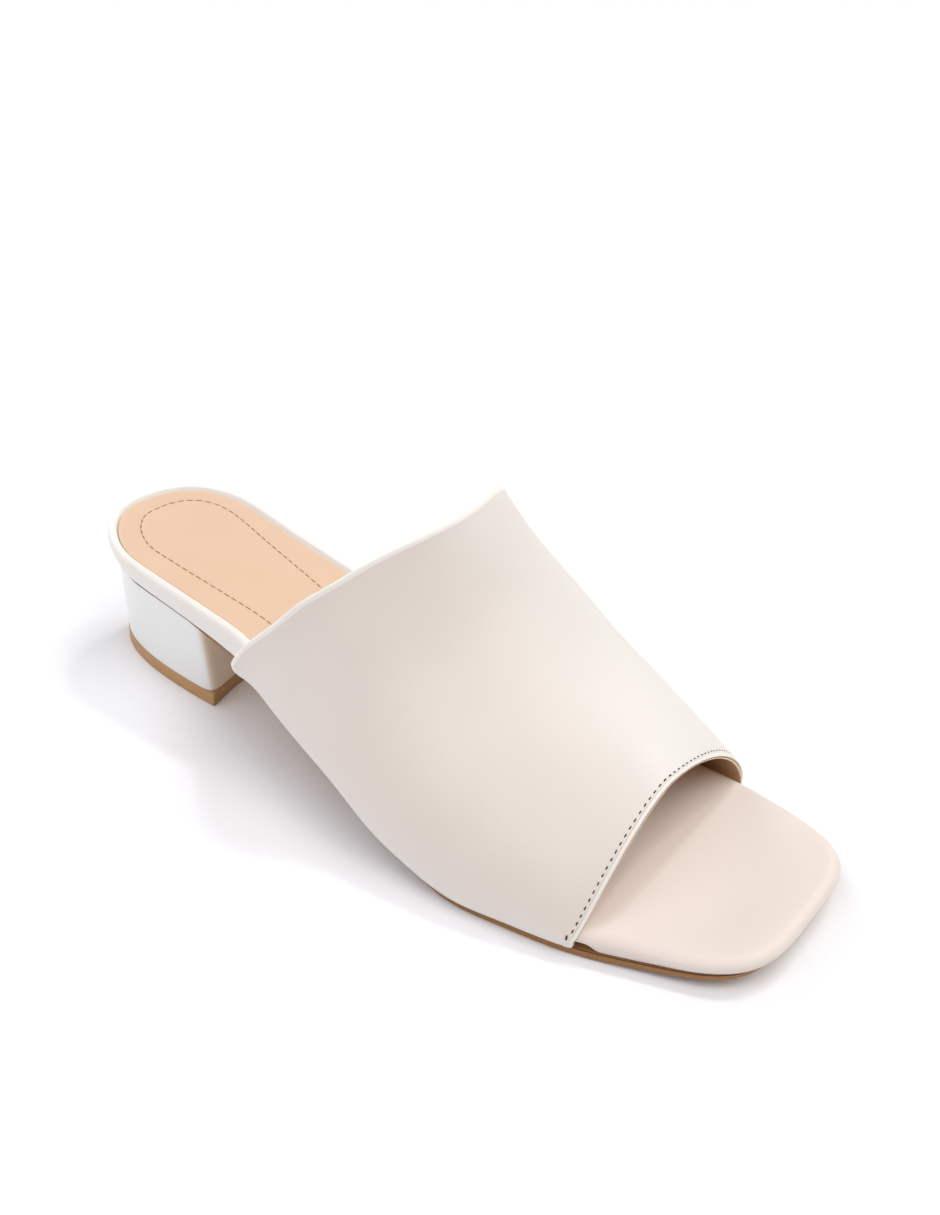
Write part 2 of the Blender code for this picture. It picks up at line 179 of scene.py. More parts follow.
def edgeAcross(station, side):   # the footbed's side, -1 outer (lateral) and +1 inner (medial)
    station = np.asarray(station, float)
    side = np.asarray(side, float)
    half = np.where(side > 0, read(last, "medial", station), read(last, "lateral", station))
    half = half * superellipse(1 - station / last["heelCurve"], last["heelRoundness"])
    across = side * half
    intoToe = (station - last["toeCurve"]) / (last["length"] - last["toeCurve"])
    corner = np.where(side > 0, last["toeSquareMedial"], last["toeSquareLateral"])
    return last["toeCentre"] + (across - last["toeCentre"]) * superellipse(intoToe, corner)


def resample(line, count):      # a polyline drawn again with its points evenly spaced
    line = np.asarray(line, float)
    length = np.concatenate(([0.0], np.cumsum(np.linalg.norm(np.diff(line, axis=0), axis=1))))
    at = np.linspace(0, 1, count) * length[-1]
    return np.stack([np.interp(at, length, line[:, k]) for k in range(line.shape[1])], axis=1)


sideCount = 280                 # outline points along each side, heel to toe corner
frontCount = 26                 # and between the two corners of the square toe
frontBlend = 40                 # side points over which cross lines bend into the toe's front


def drawOutline():              # closed, from the heel's tip along the outer side first
    stations = last["length"] * (1 - np.cos(np.linspace(0, math.pi, 6001))) / 2
    sides, fronts = [], []
    for side in (-1, 1):
        line = np.stack((stations, edgeAcross(stations, side)), axis=1)
        step = np.abs(np.diff(line, axis=0))
        corner = np.argmax((step[:, 1] > step[:, 0]) & (stations[1:] > last["toeCurve"]))
        sides.append(resample(line[:corner + 1], sideCount + 1))
        fronts.append(line[corner:])
    front = resample(np.concatenate((fronts[0], fronts[1][-2::-1])), frontCount + 1)
    return np.concatenate((sides[0], front[1:-1], sides[1][:0:-1]))


outline = drawOutline()
ahead = np.roll(outline, -1, axis=0) - np.roll(outline, 1, axis=0)
inwardOfOutline = np.stack((-ahead[:, 1], ahead[:, 0]), axis=1)
inwardOfOutline /= np.linalg.norm(inwardOfOutline, axis=1)[:, None]


def insetOutline(distance):
    return outline + inwardOfOutline * np.broadcast_to(distance, (len(outline),))[:, None]


def insetSides(distance):       # both sides of the outline, moved in: lateral and medial lines
    moved = insetOutline(distance)
    return moved[:sideCount + 1], np.concatenate((moved[:1], moved[:-sideCount - 1:-1]))


def gridFaces(rows, columns, wrapRows=False, wrapColumns=False):
    r = np.arange(rows if wrapRows else rows - 1)
    c = np.arange(columns if wrapColumns else columns - 1)
    r, c = [a.ravel() for a in np.meshgrid(r, c, indexing="ij")]
    r2, c2 = (r + 1) % rows, (c + 1) % columns
    return np.stack((r * columns + c, r * columns + c2, r2 * columns + c2, r2 * columns + c), axis=1)


def newPiece(name, points, faces, materials, faceMaterial=None, attributes=None):
    mesh = bpy.data.meshes.new(name)
    mesh.from_pydata(toRow(points).tolist(), [], [list(map(int, f)) for f in faces])
    for material in materials:
        mesh.materials.append(material)
    if faceMaterial is not None:
        mesh.polygons.foreach_set("material_index", np.asarray(faceMaterial, np.int32))
    for label, values in (attributes or {}).items():
        layer = mesh.attributes.new(label, "FLOAT", "POINT")
        layer.data.foreach_set("value", np.asarray(values, np.float32))
    piece = bpy.data.objects.new(name, mesh)
    bpy.context.scene.collection.objects.link(piece)
    closeUp(piece)
    return piece


def closeUp(piece):             # merge what meets, drop slivers, point every face outwards
    work = bmesh.new()
    work.from_mesh(piece.data)
    bmesh.ops.remove_doubles(work, verts=work.verts, dist=0.004 * mm)
    bmesh.ops.dissolve_degenerate(work, edges=work.edges, dist=0.002 * mm)
    bmesh.ops.recalc_face_normals(work, faces=work.faces)
    work.to_mesh(piece.data)
    work.free()
    piece.data.shade_smooth()
    piece.data.update()


def sharpen(piece, degrees):    # keep real edges crisp under smooth shading
    piece.data.set_sharp_from_angle(angle=math.radians(degrees))


def install(piece, node): # the piece stands for a CAD node and rides with the shoe
    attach(piece, "root")
    if node:
        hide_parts(node)


def soleShell(name, rings, topHeight, materials):
    # rings: (inset, height) pairs from the underside's edge, up the side and over the top edge; inside
    # the first and the last ring lie grids of rungs from side to side, the front rung being the toe's
    loops = []
    for inset, height in rings:
        loop = insetOutline(inset(outline[:, 0]) if callable(inset) else inset)
        loops.append(np.column_stack((loop, height(loop[:, 0]))))
    count = len(outline)
    share = np.linspace(0, 1, frontCount + 1)
    toFront = np.clip(1 - (sideCount - np.arange(sideCount + 1)) / frontBlend, 0, 1)[:, None, None] ** 2
    points, faces = [np.concatenate(loops)], [gridFaces(len(rings), count, wrapColumns=True)]
    for loop, height in ((loops[0], rings[0][1]), (loops[-1], topHeight)):
        lateral = loop[:sideCount + 1]
        medial = np.concatenate((loop[:1], loop[:-sideCount - 1:-1]))
        front = loop[sideCount:sideCount + frontCount + 1]
        grid = lateral[:, None] + (medial - lateral)[:, None] * share[None, :, None]
        grid = grid + (front - grid[-1]) * toFront
        inside = grid[1:-1, 1:-1]
        known = 2 if height is topHeight else 1
        inside[..., 2] = height(*[inside[..., k] for k in range(known)])
        grid[:, 0], grid[:, -1], grid[-1] = lateral, medial, front
        faces.append(gridFaces(*grid.shape[:2]) + sum(len(p) for p in points))
        points.append(grid.reshape(-1, 3))
    return newPiece(name, np.concatenate(points), np.concatenate(faces), materials)


def soleSheet(name, rings, topHeight, steps, materials, pick, end):
    # a sheet on the footbed that stops at a station: rings as above, with a lift of their own by side
    profile = []
    for inset, height, *lift in rings:
        pair = []
        for line, side in zip(insetSides(inset), (-1, 1)):
            line = cutLine(line, end)
            raised = height(line[:, 0]) + sum(up(line[:, 0], side) for up in lift)
            pair.append(np.column_stack((line, raised)))
        profile.append(pair)
    share = np.linspace(0, 1, steps + 1)[1:-1]

    def ladder(start, finish, height):
        rungs = start[:, None, :2] + (finish - start)[:, None, :2] * share[None, :, None]
        return np.concatenate((rungs, height(rungs[..., 0])[..., None]), axis=2)

    over = ladder(profile[-1][0], profile[-1][1], topHeight)
    under = ladder(profile[0][1], profile[0][0], rings[0][1])
    lateralSide = np.stack([pair[0] for pair in profile], axis=1)
    medialSide = np.stack([pair[1] for pair in profile[::-1]], axis=1)
    loops = np.concatenate((lateralSide, over, medialSide, under), axis=1)
    rows, columns = loops.shape[:2]
    faceList = gridFaces(rows, columns, wrapColumns=True).tolist()
    faceList.append(list(range((rows - 1) * columns, rows * columns)))
    wanted = np.append(pick(np.tile(np.arange(columns), rows - 1), len(profile)), 0)
    return newPiece(name, loops.reshape(-1, 3), faceList, materials, wanted)


def cutLine(line, station):     # a side line as far as one station, with as many points as before
    reach = np.argmax(line[:, 0] > station)
    share = (station - line[reach - 1, 0]) / (line[reach, 0] - line[reach - 1, 0])
    finish = line[reach - 1] + (line[reach] - line[reach - 1]) * share
    return resample(np.vstack((line[:reach], finish)), len(line))


def colour(code):               # an sRGB hex value as linear light, opaque
    parts = [int(code[k:k + 2], 16) / 255 for k in (1, 3, 5)]
    return (*[p / 12.92 if p <= 0.04045 else ((p + 0.055) / 1.055) ** 2.4 for p in parts], 1.0)


def setInputs(tree, node, inputs):       # each input takes a value or another node's output
    for key, value in inputs.items():
        if isinstance(value, bpy.types.NodeSocket):
            tree.links.new(value, node.inputs[key])
        else:
            node.inputs[key].default_value = value


def addNode(tree, kind, inputs=None, **settings):
    node = tree.nodes.new(kind)
    for key, value in settings.items():
        setattr(node, key, value)
    setInputs(tree, node, inputs or {})
    return node


def newMaterial(name):
    material = bpy.data.materials.new(name)
    material.use_nodes = True
    tree = material.node_tree
    return material, tree, tree.nodes["Principled BSDF"]


def noise(tree, place, size, detail, roughness=0.5):     # size in mm
    return addNode(tree, "ShaderNodeTexNoise", {
        "Vector": place, "Scale": 1 / (size * mm), "Detail": detail,
        "Roughness": roughness}).outputs["Fac"]


def between(tree, value, low, high):     # 0 at the low value, 1 at the high one
    return addNode(tree, "ShaderNodeMapRange", {
        "Value": value, "From Min": low, "From Max": high}).outputs["Result"]


def mixed(tree, share, start, end):
    return addNode(tree, "ShaderNodeMix", {"Factor": share, "A": start, "B": end},
                   data_type="RGBA").outputs["Result"]


def bump(tree, strength, distance, height, **more):      # distance in mm
    return addNode(tree, "ShaderNodeBump", {
        "Strength": strength, "Distance": distance * mm, "Height": height, **more}).outputs["Normal"]


def smoothLeather(name, look):
    # polyurethane-coated leather, calendered smooth: an even satin face whose pores only show as
    # a faint break-up of the highlight, over soft waves left by lasting
    material, tree, shader = newMaterial(name)
    place = addNode(tree, "ShaderNodeTexCoord").outputs["Object"]
    cloud = noise(tree, place, look["cloud"], 2.0)
    base = mixed(tree, between(tree, cloud, 0.35, 0.65), colour(look["face"]), colour(look["shade"]))
    # drift colour: painted sheen on the band, painted warm bounce light on the heel cover's front face,
    # ivory to nude along the footbed wrap
    if "driftBy" in look:
        value = addNode(tree, "ShaderNodeAttribute", attribute_name=look["driftBy"]).outputs["Fac"]
        start, end = 0.0, 1.0
    else:
        value = addNode(tree, "ShaderNodeSeparateXYZ", {"Vector": place}).outputs["X"]
        start, end = [look[key] * mm + float(shoeOrigin[0]) for key in ("driftFrom", "driftTo")]
    drift = addNode(tree, "ShaderNodeMapRange", {
        "Value": value, "From Min": start, "From Max": end}, interpolation_type="SMOOTHSTEP")
    pores = addNode(tree, "ShaderNodeTexVoronoi", {"Vector": place, "Scale": 1 / (look["pore"] * mm)})
    waves = noise(tree, place, look["wave"], 3.0)
    poreBump = bump(tree, look["poreStrength"], 0.02, pores.outputs["Distance"])
    polish = addNode(tree, "ShaderNodeMapRange", {
        "Value": waves, "To Min": look["roughness"] - 0.04, "To Max": look["roughness"] + 0.05})
    setInputs(tree, shader, {
        "Base Color": mixed(tree, drift.outputs["Result"], base, colour(look["toe"])),
        "Normal": bump(tree, look["waveStrength"], 0.25, waves, Normal=poreBump),
        "Roughness": polish.outputs["Result"], "IOR": 1.47, "Coat Weight": look["coat"],
        "Coat Roughness": 0.35, "Sheen Weight": look["sheen"], "Sheen Roughness": 0.4})
    return material


def softLining(name, look):
    # thin pigmented lining leather: matt, a little fibrous, with fine scattered pores
    material, tree, shader = newMaterial(name)
    place = addNode(tree, "ShaderNodeTexCoord").outputs["Object"]
    fibre = noise(tree, place, 0.5, 5.0, 0.7)
    cloud = noise(tree, place, 18.0, 3.0)
    pores = addNode(tree, "ShaderNodeTexVoronoi", {"Vector": place, "Scale": 1 / (0.9 * mm)})
    pits = between(tree, pores.outputs["Distance"], 0.0, 0.22)
    height = addNode(tree, "ShaderNodeMath", {0: pits, 1: fibre}, operation="MULTIPLY")
    setInputs(tree, shader, {
        "Base Color": mixed(tree, between(tree, cloud, 0.3, 0.7), colour(look["face"]),
                            colour(look["shade"])),
        "Normal": bump(tree, look["grain"], 0.06, height.outputs["Value"]),
        "Roughness": look["roughness"], "Sheen Weight": 0.15, "Sheen Roughness": 0.5})
    return material


def heelRubber(name, look):
    # moulded thermoplastic rubber: dull, faintly speckled in two close shades
    material, tree, shader = newMaterial(name)
    place = addNode(tree, "ShaderNodeTexCoord").outputs["Object"]
    speck = noise(tree, place, 0.7, 4.0, 0.65)
    setInputs(tree, shader, {
        "Base Color": mixed(tree, between(tree, speck, 0.35, 0.65), colour(look["face"]),
                            colour(look["shade"])),
        "Normal": bump(tree, 0.25, 0.08, speck), "Roughness": look["roughness"], "IOR": 1.52})
    return material


def sewingThread(name, look):
    # bonded polyester thread: two plies twisted, so the shine runs across in slanted bands
    material, tree, shader = newMaterial(name)
    place = addNode(tree, "ShaderNodeTexCoord").outputs["Object"]
    twist = addNode(tree, "ShaderNodeTexWave", {
        "Vector": place, "Scale": 1 / (look["twist"] * mm), "Distortion": 0.4},
        bands_direction="DIAGONAL")
    setInputs(tree, shader, {
        "Base Color": colour(look["face"]), "Normal": bump(tree, 0.5, 0.05, twist.outputs["Fac"]),
        "Roughness": look["roughness"]})
    return material


def plainSurface(name, code, roughness):
    material, tree, shader = newMaterial(name)
    setInputs(tree, shader, {"Base Color": colour(code), "Roughness": roughness})
    return material


leatherLook = {"cloud": 32, "pore": 0.45, "wave": 14, "poreStrength": 0.25, "waveStrength": 0.12,
               "roughness": 0.5, "coat": 0.05, "sheen": 0.0}
# the band's drift colour is painted sheen: paler and cooler where the coating catches grazing light
upperLook = dict(leatherLook, face="#EAE0D8", shade="#E7DDD4", toe="#E9E5E0", driftBy="paintedSheen", sheen=0.3)
wrapLook = dict(leatherLook, face="#F3F0EC", shade="#F1EDE8", toe="#E8DCD5", driftFrom=110, driftTo=190)
# the folded edges' paler colour is a painted highlight along their rounded roll
foldHighlightLook = dict(upperLook, face="#F7F2EC", shade="#F5F0E9", toe="#F6F0E9", roughness=0.42)
# the heel cover's toe colour is painted warm bounce light from the tan sole, laid on its front face
heelLook = dict(leatherLook, face="#F5F5F4", shade="#F2F2F0", toe="#F3E2CE", driftBy="breast")
ivoryLeather = smoothLeather("ivory coated leather, band", upperLook)
footbedLeather = smoothLeather("ivory to nude coated leather, footbed wrap", wrapLook)
foldHighlightLeather = smoothLeather("ivory coated leather, folded edge, painted highlight", foldHighlightLook)
heelLeather = smoothLeather("ivory coated leather, heel cover, painted bounce on front", heelLook)
tanLining = softLining("tan lining leather", {
    "face": "#C79C72", "shade": "#C09468", "grain": 0.35, "roughness": 0.62})
peachSock = softLining("peach sock leather", {
    "face": "#E3C3A8", "shade": "#E1BFA3", "grain": 0.3, "roughness": 0.55})
soleRubber = heelRubber("tan sole rubber", {"face": "#A27340", "shade": "#95683C", "roughness": 0.6})
topPieceRubber = heelRubber("tan heel rubber", {
    "face": "#C29668", "shade": "#B88C5C", "roughness": 0.55})
ivoryThread = sewingThread("ivory polyester thread", {
    "face": "#EDE6DC", "twist": 0.5, "roughness": 0.45})
brownThread = sewingThread("olive brown polyester thread", {
    "face": "#8A6A3C", "twist": 0.5, "roughness": 0.5})
# the sock's raw edge, painted dark as the shadow gap between the sock and the rim
sockEdgeAndShadow = plainSurface("sock leather, cut edge and painted shadow gap", "#7A5A3C", 0.7)
# the board's edge, painted dark brown as the shade in the groove under the rim
boardEdgeInShade = plainSurface("insole board edge, painted shade under the rim", "#6E5240", 0.8)
# the lining's cut edge: its own paler raw edge, painted paler still for the light it catches
liningCutEdgeLit = plainSurface("lining leather, cut edge, painted light", "#F0DDC9", 0.7)
liningSeam = plainSurface("lining leather, glued seam", "#A67C58", 0.8)
# a dark line painted as the shadow gap between the footbed wrap and the sole
paintedShadowLine = plainSurface("sole joint, painted shadow line", "#4A3524", 0.8)
needleShadow = plainSurface("needle hole, dark inside", "#4A3A2E", 0.9)
print("materials made")

softTroughs = (
    # part, turn in degrees, along mm, across mm, depth mm: hollows and swells left by the lasting
    {"part": 0.10, "turn": 52, "length": 16, "width": 26, "depth": 0.55},
    {"part": 0.16, "turn": 120, "length": 18, "width": 20, "depth": 0.35},
    {"part": 0.62, "turn": 40, "length": 30, "width": 22, "depth": -0.45},
    {"part": 0.86, "turn": 62, "length": 12, "width": 30, "depth": 0.30},
)


def standOff(foot, side):       # the band's outer face to the footbed's side
    flare = band["flare"] * np.exp(-((foot - band["flareAt"]) / band["flareReach"]) ** 2)
    spread = band["spread"] * np.exp(-((foot - band["spreadAt"]) / band["spreadReach"]) ** 2)
    return np.where(side > 0, band["standMedial"] + spread, band["standLateral"] + flare)


def bandSurface(part, turn):    # the band's outer face
    side = np.where(np.cos(turn) > 0, -1.0, 1.0)

    def column(name):
        return read(band, name, part)

    foot = np.where(side > 0, column("medial"), column("lateral"))
    squareness = np.where(side > 0, column("roundMedial"), column("roundLateral"))
    crown = np.where(side > 0, column("crownMedial"), column("crownLateral"))
    rise = np.maximum(np.sin(turn), 0) ** (2 / squareness)
    spread = np.abs(np.cos(turn)) ** (2 / crown)
    station = foot + (column("ridge") - foot) * rise ** column("lean")
    station = station - np.where(side < 0, band["tip"], 0.0) * np.exp(
        -rise / band["tipHeight"] - (part / band["tipPart"]) ** 2)
    wall = edgeAcross(station, side) + side * standOff(foot, side)
    across = column("across") + (wall - column("across")) * spread
    base = read(last, "sole", station) + band["foot"]
    return np.stack((station, across, base + (column("height") - base) * rise), axis=-1)


def soften(grid, axis, reach):  # smooth a grid of points along one axis, ends held
    kernel = np.exp(-0.5 * (np.arange(-3 * reach, 3 * reach + 1) / reach) ** 2)
    kernel /= kernel.sum()
    pad = len(kernel) // 2
    moved = np.moveaxis(grid, axis, 0)
    first, final = moved[:1], moved[-1:]
    before = 2 * first - moved[pad:0:-1]
    after = 2 * final - moved[-2:-pad - 2:-1]
    extended = np.concatenate((before, moved, after))
    out = sum(weight * extended[k:k + len(moved)] for k, weight in enumerate(kernel))
    return np.moveaxis(out, 0, axis)


def unit(vectors):
    return vectors / np.maximum(np.linalg.norm(vectors, axis=-1), 1e-9)[..., None]


def bandGrid():                 # outer face and its normals, (line, point, xyz)
    part, turn = np.meshgrid(np.linspace(0, 1, band["lines"]),
                             np.linspace(0, math.pi, band["points"] + 1), indexing="ij")
    face = soften(bandSurface(part, turn), 1, band["eased"])
    higher = np.interp(np.degrees(turn[0]), *zip(*band["topline"]))
    higher = soften(higher, 0, band["toplineEased"]) * np.exp(-(part / band["toplineReach"]) ** 2)
    upTheWall = unit(face[0] - face[3])
    face = face + upTheWall * higher[..., None]
    normal = unit(np.cross(np.gradient(face, axis=0), np.gradient(face, axis=1)))
    overTheFoot = normal[band["lines"] // 2, band["points"] // 2]
    normal *= np.sign(overTheFoot[2])
    length = np.cumsum(np.linalg.norm(np.gradient(face, axis=0), axis=2), axis=0)
    for trough in softTroughs:
        k = int(trough["part"] * (band["lines"] - 1))
        j = int(trough["turn"] / 180 * band["points"])
        away = face - face[k, j]
        along = (length - length[k]) / trough["length"]
        beside = np.linalg.norm(away, axis=2) / trough["width"]
        dent = trough["depth"] * np.exp(-along**2 - beside**2)
        face = face - normal * dent[..., None]
    return face, normal


def hem(face, side):            # the wall's foot, down and in under the footbed: points, normals, height
    foot = face[:, 0] if side < 0 else face[:, -1]
    station = foot[:, 0]
    slope = edgeAcross(station + 0.5, side) - edgeAcross(station - 0.5, side)
    inward = unit(np.stack((side * slope, np.full_like(slope, -side), np.zeros_like(slope)), axis=1))
    radius = band["hem"]
    path = [(0.0, band["foot"] * 0.72, 0.0), (0.0, radius, 0.0)]    # inset, lift, turn of the normal
    for degrees in range(18, 91, 18):
        a = math.radians(degrees)
        path.append((radius * (1 - math.cos(a)), radius * (1 - math.sin(a)), a))
    for share in (0.35, 0.6, 0.8, 1.0):
        path.append((radius + (band["turnedUnder"] - radius) * share, 0.0, math.pi / 2))
    points, normals, down = [], [], []
    for inset, lift, a in path:
        at = foot + inward * inset
        at[:, 2] = read(last, "sole", at[:, 0]) + lift
        points.append(at)
        normals.append(-inward * math.cos(a) + np.array((0.0, 0.0, -1.0)) * math.sin(a))
        down.append(lift - inset)
    order = slice(None, None, -1) if side < 0 else slice(None)
    return (np.stack(points, axis=1)[:, order], np.stack(normals, axis=1)[:, order],
            np.array(down)[order])


def wallRows():                 # round the wall's section: edge to count from, mm off it, depth, skin
    line, wall = band["stitchLine"], band["wall"]
    faceSteps, liningSteps = 84, 40
    rows = []
    # the rear fold's first rows carry the painted highlight along the topline
    for distance, depth in ((0.0, 0.72), (0.05, 0.48), (0.18, 0.24), (0.4, 0.06), (0.7, -0.06),
                            (1.1, -0.12), (1.6, -0.08), (2.3, 0.0), (band["rearFold"], 0.0)):
        rows.append(("rear", distance, depth, "foldHighlight" if distance < 1.6 else "leather"))
    for k in range(1, faceSteps):
        rows.append(("between", k / faceSteps, 0.0, "leather"))
    # the front fold's outer rows carry the painted highlight
    for distance, depth in ((line + band["stitchHollow"], 0.0), (line + 0.9, 0.02), (line + 0.5, 0.07),
                            (line, 0.16), (line - 0.5, 0.06), (line - 0.85, -0.03), (1.3, -0.09),
                            (0.9, -0.09), (0.55, -0.03), (0.35, 0.08), (0.25, 0.22), (0.2, 0.4),
                            (0.24, 0.52)):
        rows.append(("front", distance, depth, "foldHighlight" if distance < line - 0.5 else "leather"))
    # the cut rows take the lining's edge colour, painted paler for the light it catches
    for distance, depth, skin in ((0.28, 0.6, "seam"), (0.34, 0.68, "seam"), (0.3, 0.78, "seam"),
                                  (0.1, 0.86, "cut"), (0.0, 0.92, "cut"), (0.0, 1.3, "cut"),
                                  (0.08, 1.45, "cut"), (0.3, 1.53, "lining"), (1.6, wall, "lining")):
        rows.append(("front", distance, depth, skin))
    for k in range(liningSteps - 1, 0, -1):
        rows.append(("between", k / liningSteps, wall, "lining"))
    for distance, depth, skin in ((3.0, wall, "lining"), (2.5, 1.53, "lining"), (2.35, 1.45, "lining"),
                                  (2.3, 1.36, "leather"), (1.6, 1.4, "leather"), (0.8, 1.4, "leather"),
                                  (0.3, 1.25, "leather"), (0.07, 1.0, "leather")):
        rows.append(("rear", distance, depth, skin))
    return rows


def thinning(down):             # parts of the wall left at each point of a hem
    return np.where(down <= band["hem"], band["hemThinning"], band["footThinning"])


def cornerCut(radius, down):    # how far the hem's end draws back, so that its corner is round
    below = np.clip(radius - np.maximum(down, 0), 0, radius)
    return radius - np.sqrt(radius**2 - below**2) + band["cornerSlant"] * np.maximum(-down, 0)


def paintedSheenSides(turn):           # 0 where the band has its own colour, 1 where the painted sheen is palest
    overInner = (turn - band["paintedSheenFrom"]) / (band["paintedSheenTo"] - band["paintedSheenFrom"])
    alongFoot = (band["paintedSheenFoot"] - turn) / band["paintedSheenFoot"] * 0.5
    return np.clip(np.maximum(overInner, alongFoot), 0, 1)


def makeBand():
    face, normal = bandGrid()
    lateral, lateralNormal, lateralDown = hem(face, -1)
    medial, medialNormal, medialDown = hem(face, 1)
    wallDown = face[0, :, 2] - read(last, "sole", face[0, :, 0])
    down = np.concatenate((lateralDown, wallDown, medialDown))
    thin = np.concatenate((thinning(lateralDown), np.ones(len(wallDown)), thinning(medialDown)))
    # painted sheen: how pale each point of the band is drawn, full on the turned-under hems
    paintedSheen = np.concatenate((np.ones(len(lateralDown)),
                            paintedSheenSides(np.linspace(0, 180, band["points"] + 1)),
                            np.ones(len(medialDown))))
    face = np.concatenate((lateral, face, medial), axis=1)
    normal = np.concatenate((lateralNormal, normal, medialNormal), axis=1)
    steps = np.linalg.norm(np.diff(face, axis=0), axis=2)
    length = np.concatenate((np.zeros((1, face.shape[1])), np.cumsum(steps, axis=0)))
    rearCut = cornerCut(band["rearCorner"], down)
    frontCut = cornerCut(band["frontCorner"], down)
    rows = wallRows()
    frontFold = band["stitchLine"] + band["stitchHollow"]
    loops = np.empty((face.shape[1], len(rows), 3))
    for j in range(face.shape[1]):
        total = length[-1, j] - rearCut[j] - frontCut[j]
        at, depth = [], []
        for edge, distance, deep, _ in rows:
            middle = band["rearFold"] + (total - band["rearFold"] - frontFold) * distance
            along = {"rear": distance, "front": total - distance, "between": middle}[edge]
            at.append(rearCut[j] + along)
            depth.append(deep * thin[j])
        for k in range(3):
            place = np.interp(at, length[:, j], face[:, j, k])
            out = np.interp(at, length[:, j], normal[:, j, k])
            loops[j, :, k] = place - out * np.array(depth)
    columns = len(rows)
    skins = {"leather": ivoryLeather, "lining": tanLining, "seam": liningSeam, "cut": liningCutEdgeLit,
             "foldHighlight": foldHighlightLeather}
    picked = [list(skins).index(row[3]) for row in rows] * (face.shape[1] - 1)
    faces = gridFaces(face.shape[1], columns, wrapColumns=True).tolist()
    for j in (0, face.shape[1] - 1):
        faces.append([j * columns + k for k in range(columns)])
        picked.append(0)
    piece = newPiece("vamp_band", loops.reshape(-1, 3), faces, list(skins.values()), picked,
                     {"paintedSheen": np.repeat(paintedSheen, columns)})
    install(piece, "upper")
    stitchRow = [row[:2] for row in rows].index(("front", band["stitchLine"]))
    return piece, loops[:, stitchRow], normal[-1]


bandPiece, stitchPath, stitchUp = makeBand()
print("band made:", len(bandPiece.data.polygons), "faces")

footbed = {
    "roundHeel": (2.4, 2.4),     # top edge's rounding at the heel: across, down
    "roundToe": (3.8, 2.9),      # and at the toe, where the padding is soft
    "roundTurns": (62.6, 200.5),     # stations between which one turns into the other
    "rebate": (72.0, 213.0),     # a rebate below takes the band's turned-under edge
    "rebateRamps": (18.0, 4.5),
    "rebateDepth": 1.7,
    "rebateWidth": 8.0,
    "seatFall": 1.2,             # width over which the rim falls to the sock's seat
    "lowerRound": 0.7,
    "crown": 0.5,                # the toe part's padding swells between the sides and these stations
    "crownBetween": (175.0, 244.0),
    "crownRamps": (40.0, 30.0),
    "crownMargin": 6.0,
}


def heelToToe(station, heel, toe):
    start, end = footbed["roundTurns"]
    return heel + (toe - heel) * ease((station - start) / (end - start))


def roundAcross(station):
    return heelToToe(station, footbed["roundHeel"][0], footbed["roundToe"][0])


def roundDown(station):
    return heelToToe(station, footbed["roundHeel"][1], footbed["roundToe"][1])


def soleLine(station):
    return read(last, "sole", station)


def tuckAt(station):
    return read(last, "tuck", station)


def rimTop(station):
    return read(last, "top", station)


def seatHeight(station):
    return rimTop(station) - read(last, "seat", station)


def rebateAt(station):
    (start, end), (behind, infront) = footbed["rebate"], footbed["rebateRamps"]
    share = np.minimum((station - start) / behind, (end - station) / infront)
    return footbed["rebateDepth"] * ease(share)


def rebated(station):           # the footbed's underside along its edge
    return soleLine(station) + rebateAt(station)


def sideHeight(station, share):  # up the footbed's side, from its lower to its upper rounding
    start = rebated(station) + footbed["lowerRound"]
    return start + (rimTop(station) - roundDown(station) - start) * share


def makeFootbed():
    low, width = footbed["lowerRound"], footbed["rebateWidth"]
    rings = [(width + 1.0, soleLine), (width, soleLine), (width, rebated),
             (lambda s: tuckAt(s) + low, rebated)]
    for degrees in (30, 60, 90):
        a = math.radians(degrees)
        rings.append((lambda s, a=a: tuckAt(s) + low * (1 - math.sin(a)),
                      lambda s, a=a: rebated(s) + low * (1 - math.cos(a))))
    for share in (0.25, 0.5, 0.75):
        rings.append((lambda s, k=share: tuckAt(s) * (1 - k) ** 1.6,
                      lambda s, k=share: sideHeight(s, k)))
    for degrees in range(0, 91, 10):
        a = math.radians(degrees)
        rings.append((lambda s, a=a: roundAcross(s) * (1 - math.cos(a)),
                      lambda s, a=a: rimTop(s) - roundDown(s) * (1 - math.sin(a))))
    for share in (0.3, 0.7, 1.0):
        rings.append((lambda s, k=share: roundAcross(s) + footbed["seatFall"] * k,
                      lambda s, k=share: rimTop(s) - read(last, "seat", s) * ease(k)))

    def top(station, across):
        lateral, medial = edgeAcross(station, -1), edgeAcross(station, 1)
        middle = (lateral + medial) / 2
        half = np.maximum((medial - lateral) / 2 - footbed["crownMargin"], 1.0)
        bulge = (1 - np.clip(np.abs(across - middle) / half, 0, 1) ** 2) ** 2
        (start, end), (behind, infront) = footbed["crownBetween"], footbed["crownRamps"]
        toe = np.clip((station - start) / behind, 0, 1) * np.clip((end - station) / infront, 0, 1)
        return seatHeight(station) + footbed["crown"] * bulge * ease(toe)

    piece = soleShell("footbed_wrap", rings, top, [footbedLeather])
    install(piece, "footbed")


makeFootbed()
print("footbed made")

